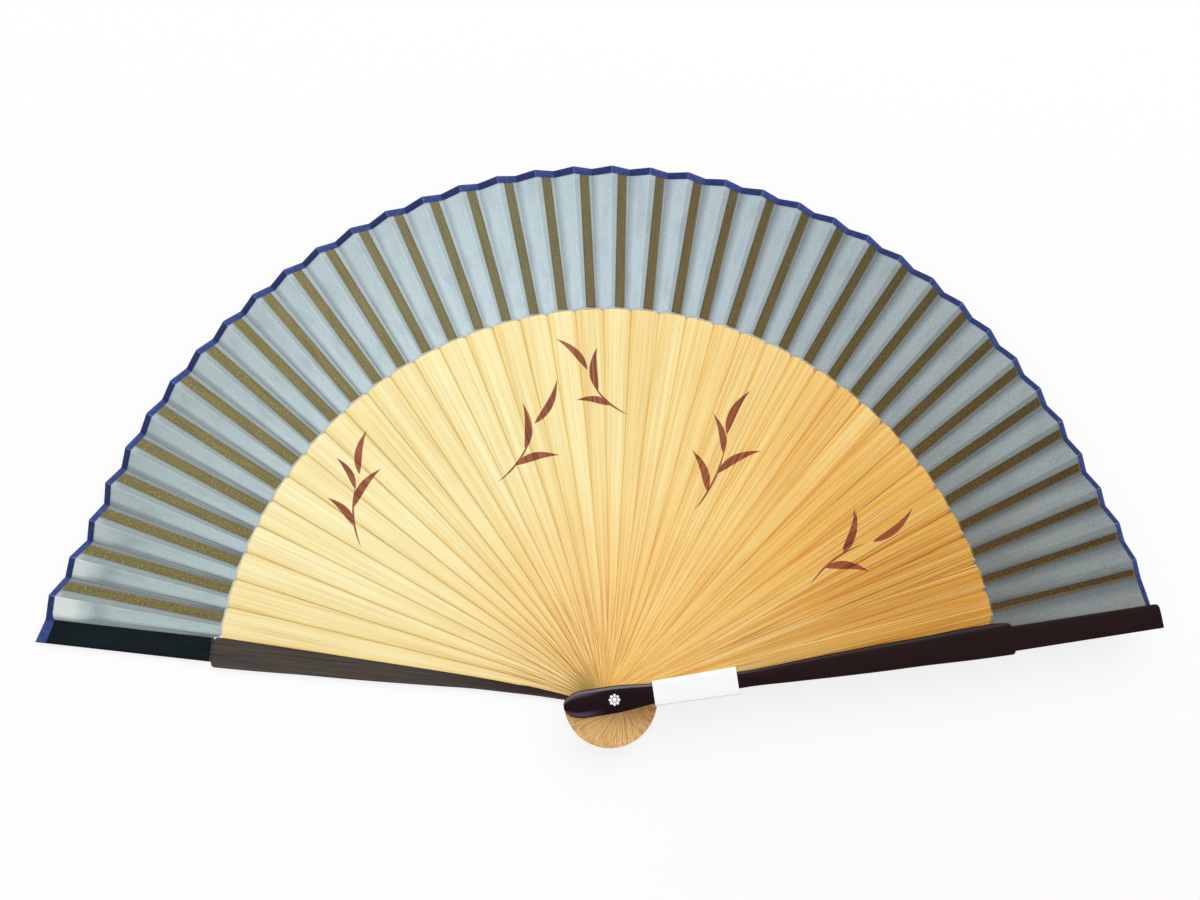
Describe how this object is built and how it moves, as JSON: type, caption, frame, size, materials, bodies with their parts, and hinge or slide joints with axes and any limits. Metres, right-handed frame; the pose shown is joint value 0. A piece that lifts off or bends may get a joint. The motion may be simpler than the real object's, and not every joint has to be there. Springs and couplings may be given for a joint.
{
  "type": "folding fan",
  "caption": "Open folding fan: thin flat ribs between two lacquered guards turn on one pin and carry a pleated silk leaf with a folded edge binding.",
  "frame": {"origin": "centre of the pivot pin's rear head, on the face that the fan lies on", "axes": "+Z along the pivot pin, up through the stack of ribs; +Y towards the middle of the leaf; +X towards the front guard's side"},
  "size_m": [0.3885, 0.2019, 0.0218],
  "materials": {
    "lacquer": "gloss",
    "bamboo": "satin",
    "silver": "polished",
    "silk": "matte",
    "navy": "matte",
    "paper": "matte"
  },
  "bodies": {
    "back_side": {"back_guard": "lacquer", "pivot_pin": "silver", "pin_rosette": "silver", "silk_leaf": "silk", "edge_binding": "navy"},
    "front_guard_body": {"front_guard": "lacquer"},
    "band_body": {"paper_band": "paper"},
    "rib_01_body": {"rib_01": "bamboo"},
    "rib_02_body": {"rib_02": "bamboo"},
    "rib_03_body": {"rib_03": "bamboo"},
    "rib_04_body": {"rib_04": "bamboo"},
    "rib_05_body": {"rib_05": "bamboo"},
    "rib_06_body": {"rib_06": "bamboo"},
    "rib_07_body": {"rib_07": "bamboo"},
    "rib_08_body": {"rib_08": "bamboo"},
    "rib_09_body": {"rib_09": "bamboo"},
    "rib_10_body": {"rib_10": "bamboo"},
    "rib_11_body": {"rib_11": "bamboo"},
    "rib_12_body": {"rib_12": "bamboo"},
    "rib_13_body": {"rib_13": "bamboo"},
    "rib_14_body": {"rib_14": "bamboo"},
    "rib_15_body": {"rib_15": "bamboo"},
    "rib_16_body": {"rib_16": "bamboo"},
    "rib_17_body": {"rib_17": "bamboo"},
    "rib_18_body": {"rib_18": "bamboo"},
    "rib_19_body": {"rib_19": "bamboo"},
    "rib_20_body": {"rib_20": "bamboo"},
    "rib_21_body": {"rib_21": "bamboo"},
    "rib_22_body": {"rib_22": "bamboo"},
    "rib_23_body": {"rib_23": "bamboo"},
    "rib_24_body": {"rib_24": "bamboo"},
    "rib_25_body": {"rib_25": "bamboo"},
    "rib_26_body": {"rib_26": "bamboo"},
    "rib_27_body": {"rib_27": "bamboo"},
    "rib_28_body": {"rib_28": "bamboo"},
    "rib_29_body": {"rib_29": "bamboo"},
    "rib_30_body": {"rib_30": "bamboo"},
    "rib_31_body": {"rib_31": "bamboo"},
    "rib_32_body": {"rib_32": "bamboo"},
    "rib_33_body": {"rib_33": "bamboo"},
    "rib_34_body": {"rib_34": "bamboo"},
    "rib_35_body": {"rib_35": "bamboo"},
    "rib_36_body": {"rib_36": "bamboo"},
    "rib_37_body": {"rib_37": "bamboo"},
    "rib_38_body": {"rib_38": "bamboo"}
  },
  "joints": [
    {"name": "fan_close", "type": "hinge", "parent": "back_side", "child": "front_guard_body", "pos_m": [0, 0, 0], "axis": [0, 0, 1], "range_deg": [0, 164.9], "deforming": ["silk_leaf", "edge_binding"]},
    {"name": "rib_01_turn", "type": "hinge", "parent": "back_side", "child": "rib_01_body", "pos_m": [0, 0, 0], "axis": [0, 0, 1], "range_deg": [0, 5.02]},
    {"name": "rib_02_turn", "type": "hinge", "parent": "back_side", "child": "rib_02_body", "pos_m": [0, 0, 0], "axis": [0, 0, 1], "range_deg": [0, 9.21]},
    {"name": "rib_03_turn", "type": "hinge", "parent": "back_side", "child": "rib_03_body", "pos_m": [0, 0, 0], "axis": [0, 0, 1], "range_deg": [0, 13.4]},
    {"name": "rib_04_turn", "type": "hinge", "parent": "back_side", "child": "rib_04_body", "pos_m": [0, 0, 0], "axis": [0, 0, 1], "range_deg": [0, 17.59]},
    {"name": "rib_05_turn", "type": "hinge", "parent": "back_side", "child": "rib_05_body", "pos_m": [0, 0, 0], "axis": [0, 0, 1], "range_deg": [0, 21.77]},
    {"name": "rib_06_turn", "type": "hinge", "parent": "back_side", "child": "rib_06_body", "pos_m": [0, 0, 0], "axis": [0, 0, 1], "range_deg": [0, 25.96]},
    {"name": "rib_07_turn", "type": "hinge", "parent": "back_side", "child": "rib_07_body", "pos_m": [0, 0, 0], "axis": [0, 0, 1], "range_deg": [0, 30.15]},
    {"name": "rib_08_turn", "type": "hinge", "parent": "back_side", "child": "rib_08_body", "pos_m": [0, 0, 0], "axis": [0, 0, 1], "range_deg": [0, 34.34]},
    {"name": "rib_09_turn", "type": "hinge", "parent": "back_side", "child": "rib_09_body", "pos_m": [0, 0, 0], "axis": [0, 0, 1], "range_deg": [0, 38.53]},
    {"name": "rib_10_turn", "type": "hinge", "parent": "back_side", "child": "rib_10_body", "pos_m": [0, 0, 0], "axis": [0, 0, 1], "range_deg": [0, 42.71]},
    {"name": "rib_11_turn", "type": "hinge", "parent": "back_side", "child": "rib_11_body", "pos_m": [0, 0, 0], "axis": [0, 0, 1], "range_deg": [0, 46.9]},
    {"name": "rib_12_turn", "type": "hinge", "parent": "back_side", "child": "rib_12_body", "pos_m": [0, 0, 0], "axis": [0, 0, 1], "range_deg": [0, 51.09]},
    {"name": "rib_13_turn", "type": "hinge", "parent": "back_side", "child": "rib_13_body", "pos_m": [0, 0, 0], "axis": [0, 0, 1], "range_deg": [0, 55.28]},
    {"name": "rib_14_turn", "type": "hinge", "parent": "back_side", "child": "rib_14_body", "pos_m": [0, 0, 0], "axis": [0, 0, 1], "range_deg": [0, 59.47]},
    {"name": "rib_15_turn", "type": "hinge", "parent": "back_side", "child": "rib_15_body", "pos_m": [0, 0, 0], "axis": [0, 0, 1], "range_deg": [0, 63.65]},
    {"name": "rib_16_turn", "type": "hinge", "parent": "back_side", "child": "rib_16_body", "pos_m": [0, 0, 0], "axis": [0, 0, 1], "range_deg": [0, 67.84]},
    {"name": "rib_17_turn", "type": "hinge", "parent": "back_side", "child": "rib_17_body", "pos_m": [0, 0, 0], "axis": [0, 0, 1], "range_deg": [0, 72.03]},
    {"name": "rib_18_turn", "type": "hinge", "parent": "back_side", "child": "rib_18_body", "pos_m": [0, 0, 0], "axis": [0, 0, 1], "range_deg": [0, 76.22]},
    {"name": "rib_19_turn", "type": "hinge", "parent": "back_side", "child": "rib_19_body", "pos_m": [0, 0, 0], "axis": [0, 0, 1], "range_deg": [0, 80.41]},
    {"name": "rib_20_turn", "type": "hinge", "parent": "back_side", "child": "rib_20_body", "pos_m": [0, 0, 0], "axis": [0, 0, 1], "range_deg": [0, 84.59]},
    {"name": "rib_21_turn", "type": "hinge", "parent": "back_side", "child": "rib_21_body", "pos_m": [0, 0, 0], "axis": [0, 0, 1], "range_deg": [0, 88.78]},
    {"name": "rib_22_turn", "type": "hinge", "parent": "back_side", "child": "rib_22_body", "pos_m": [0, 0, 0], "axis": [0, 0, 1], "range_deg": [0, 92.97]},
    {"name": "rib_23_turn", "type": "hinge", "parent": "back_side", "child": "rib_23_body", "pos_m": [0, 0, 0], "axis": [0, 0, 1], "range_deg": [0, 97.16]},
    {"name": "rib_24_turn", "type": "hinge", "parent": "back_side", "child": "rib_24_body", "pos_m": [0, 0, 0], "axis": [0, 0, 1], "range_deg": [0, 101.35]},
    {"name": "rib_25_turn", "type": "hinge", "parent": "back_side", "child": "rib_25_body", "pos_m": [0, 0, 0], "axis": [0, 0, 1], "range_deg": [0, 105.53]},
    {"name": "rib_26_turn", "type": "hinge", "parent": "back_side", "child": "rib_26_body", "pos_m": [0, 0, 0], "axis": [0, 0, 1], "range_deg": [0, 109.72]},
    {"name": "rib_27_turn", "type": "hinge", "parent": "back_side", "child": "rib_27_body", "pos_m": [0, 0, 0], "axis": [0, 0, 1], "range_deg": [0, 113.91]},
    {"name": "rib_28_turn", "type": "hinge", "parent": "back_side", "child": "rib_28_body", "pos_m": [0, 0, 0], "axis": [0, 0, 1], "range_deg": [0, 118.1]},
    {"name": "rib_29_turn", "type": "hinge", "parent": "back_side", "child": "rib_29_body", "pos_m": [0, 0, 0], "axis": [0, 0, 1], "range_deg": [0, 122.29]},
    {"name": "rib_30_turn", "type": "hinge", "parent": "back_side", "child": "rib_30_body", "pos_m": [0, 0, 0], "axis": [0, 0, 1], "range_deg": [0, 126.47]},
    {"name": "rib_31_turn", "type": "hinge", "parent": "back_side", "child": "rib_31_body", "pos_m": [0, 0, 0], "axis": [0, 0, 1], "range_deg": [0, 130.66]},
    {"name": "rib_32_turn", "type": "hinge", "parent": "back_side", "child": "rib_32_body", "pos_m": [0, 0, 0], "axis": [0, 0, 1], "range_deg": [0, 134.85]},
    {"name": "rib_33_turn", "type": "hinge", "parent": "back_side", "child": "rib_33_body", "pos_m": [0, 0, 0], "axis": [0, 0, 1], "range_deg": [0, 139.04]},
    {"name": "rib_34_turn", "type": "hinge", "parent": "back_side", "child": "rib_34_body", "pos_m": [0, 0, 0], "axis": [0, 0, 1], "range_deg": [0, 143.23]},
    {"name": "rib_35_turn", "type": "hinge", "parent": "back_side", "child": "rib_35_body", "pos_m": [0, 0, 0], "axis": [0, 0, 1], "range_deg": [0, 147.41]},
    {"name": "rib_36_turn", "type": "hinge", "parent": "back_side", "child": "rib_36_body", "pos_m": [0, 0, 0], "axis": [0, 0, 1], "range_deg": [0, 151.6]},
    {"name": "rib_37_turn", "type": "hinge", "parent": "back_side", "child": "rib_37_body", "pos_m": [0, 0, 0], "axis": [0, 0, 1], "range_deg": [0, 155.79]},
    {"name": "rib_38_turn", "type": "hinge", "parent": "back_side", "child": "rib_38_body", "pos_m": [0, 0, 0], "axis": [0, 0, 1], "range_deg": [0, 159.98]},
    {"name": "band_slide", "type": "slide", "parent": "front_guard_body", "child": "band_body", "axis": [0.9898, 0.1426, 0], "range_m": [-0.006, 0.015]}
  ],
  "couplings": [
    {"joint": "rib_01_turn", "follows": "fan_close", "ratio": 0.030147},
    {"joint": "rib_02_turn", "follows": "fan_close", "ratio": 0.055544},
    {"joint": "rib_03_turn", "follows": "fan_close", "ratio": 0.080942},
    {"joint": "rib_04_turn", "follows": "fan_close", "ratio": 0.10634},
    {"joint": "rib_05_turn", "follows": "fan_close", "ratio": 0.13174},
    {"joint": "rib_06_turn", "follows": "fan_close", "ratio": 0.15713},
    {"joint": "rib_07_turn", "follows": "fan_close", "ratio": 0.18253},
    {"joint": "rib_08_turn", "follows": "fan_close", "ratio": 0.20793},
    {"joint": "rib_09_turn", "follows": "fan_close", "ratio": 0.23333},
    {"joint": "rib_10_turn", "follows": "fan_close", "ratio": 0.25872},
    {"joint": "rib_11_turn", "follows": "fan_close", "ratio": 0.28412},
    {"joint": "rib_12_turn", "follows": "fan_close", "ratio": 0.30952},
    {"joint": "rib_13_turn", "follows": "fan_close", "ratio": 0.33492},
    {"joint": "rib_14_turn", "follows": "fan_close", "ratio": 0.36031},
    {"joint": "rib_15_turn", "follows": "fan_close", "ratio": 0.38571},
    {"joint": "rib_16_turn", "follows": "fan_close", "ratio": 0.41111},
    {"joint": "rib_17_turn", "follows": "fan_close", "ratio": 0.43651},
    {"joint": "rib_18_turn", "follows": "fan_close", "ratio": 0.4619},
    {"joint": "rib_19_turn", "follows": "fan_close", "ratio": 0.4873},
    {"joint": "rib_20_turn", "follows": "fan_close", "ratio": 0.5127},
    {"joint": "rib_21_turn", "follows": "fan_close", "ratio": 0.5381},
    {"joint": "rib_22_turn", "follows": "fan_close", "ratio": 0.56349},
    {"joint": "rib_23_turn", "follows": "fan_close", "ratio": 0.58889},
    {"joint": "rib_24_turn", "follows": "fan_close", "ratio": 0.61429},
    {"joint": "rib_25_turn", "follows": "fan_close", "ratio": 0.63969},
    {"joint": "rib_26_turn", "follows": "fan_close", "ratio": 0.66508},
    {"joint": "rib_27_turn", "follows": "fan_close", "ratio": 0.69048},
    {"joint": "rib_28_turn", "follows": "fan_close", "ratio": 0.71588},
    {"joint": "rib_29_turn", "follows": "fan_close", "ratio": 0.74128},
    {"joint": "rib_30_turn", "follows": "fan_close", "ratio": 0.76667},
    {"joint": "rib_31_turn", "follows": "fan_close", "ratio": 0.79207},
    {"joint": "rib_32_turn", "follows": "fan_close", "ratio": 0.81747},
    {"joint": "rib_33_turn", "follows": "fan_close", "ratio": 0.84287},
    {"joint": "rib_34_turn", "follows": "fan_close", "ratio": 0.86826},
    {"joint": "rib_35_turn", "follows": "fan_close", "ratio": 0.89366},
    {"joint": "rib_36_turn", "follows": "fan_close", "ratio": 0.91906},
    {"joint": "rib_37_turn", "follows": "fan_close", "ratio": 0.94446},
    {"joint": "rib_38_turn", "follows": "fan_close", "ratio": 0.96985}
  ]
}
